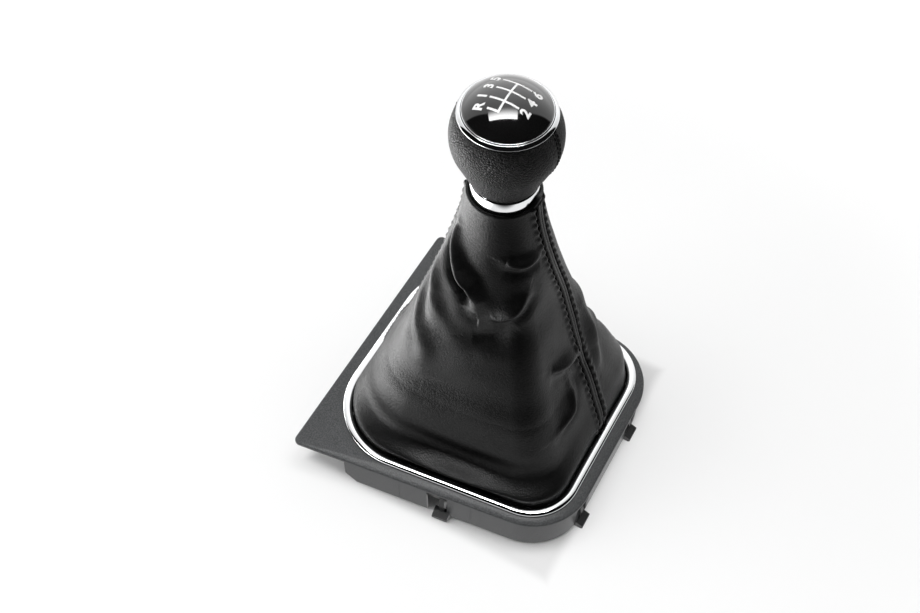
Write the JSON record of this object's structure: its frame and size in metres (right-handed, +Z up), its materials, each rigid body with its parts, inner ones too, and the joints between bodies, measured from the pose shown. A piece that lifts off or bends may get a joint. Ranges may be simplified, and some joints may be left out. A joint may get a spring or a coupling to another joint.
{
  "type": "gear shift knob",
  "caption": "Manual gear shift knob with a glossy numbered cap, a stitched leather gaiter and a trim frame with a bright ring.",
  "frame": {"origin": "middle of the footprint, on the surface that the part stands on", "axes": "+Y to the front of the car, +X to its right, +Z up"},
  "size_m": [0.164, 0.16, 0.2689],
  "materials": {
    "plate_plastic": "fine textured satin",
    "black_plastic": "satin",
    "chrome": "polished",
    "leather": "fine grained, semi-gloss",
    "steel": "bare",
    "cap_gloss": "high gloss"
  },
  "bodies": {
    "frame": {"trim_plate": "plate_plastic", "trim_ring": "chrome", "gaiter_frame": "black_plastic", "frame_staples": "steel"},
    "gaiter": {"gaiter_left": "leather", "gaiter_right": "leather"},
    "knob": {"gaiter_clip_ring": "black_plastic", "gaiter_tie": "black_plastic", "neck_collar": "chrome", "lever_sleeve": "steel", "sleeve_clamp": "steel", "knob_core": "black_plastic", "knob_leather": "leather", "knob_band": "chrome", "cap_seat": "black_plastic", "cap_bezel": "chrome", "shift_cap": "cap_gloss"}
  },
  "joints": [
    {"name": "shift", "type": "hinge", "parent": "frame", "child": "gaiter", "pos_m": [0, -0.0035, -0.045], "axis": [1, 0, 0], "range_deg": [-8, 8], "deforming": ["gaiter_left", "gaiter_right"]},
    {"name": "select", "type": "hinge", "parent": "gaiter", "child": "knob", "pos_m": [0, -0.0035, -0.045], "axis": [0, 1, 0], "range_deg": [-5, 5], "stiffness_Nm_per_rad": 5, "deforming": ["gaiter_left", "gaiter_right"]}
  ]
}
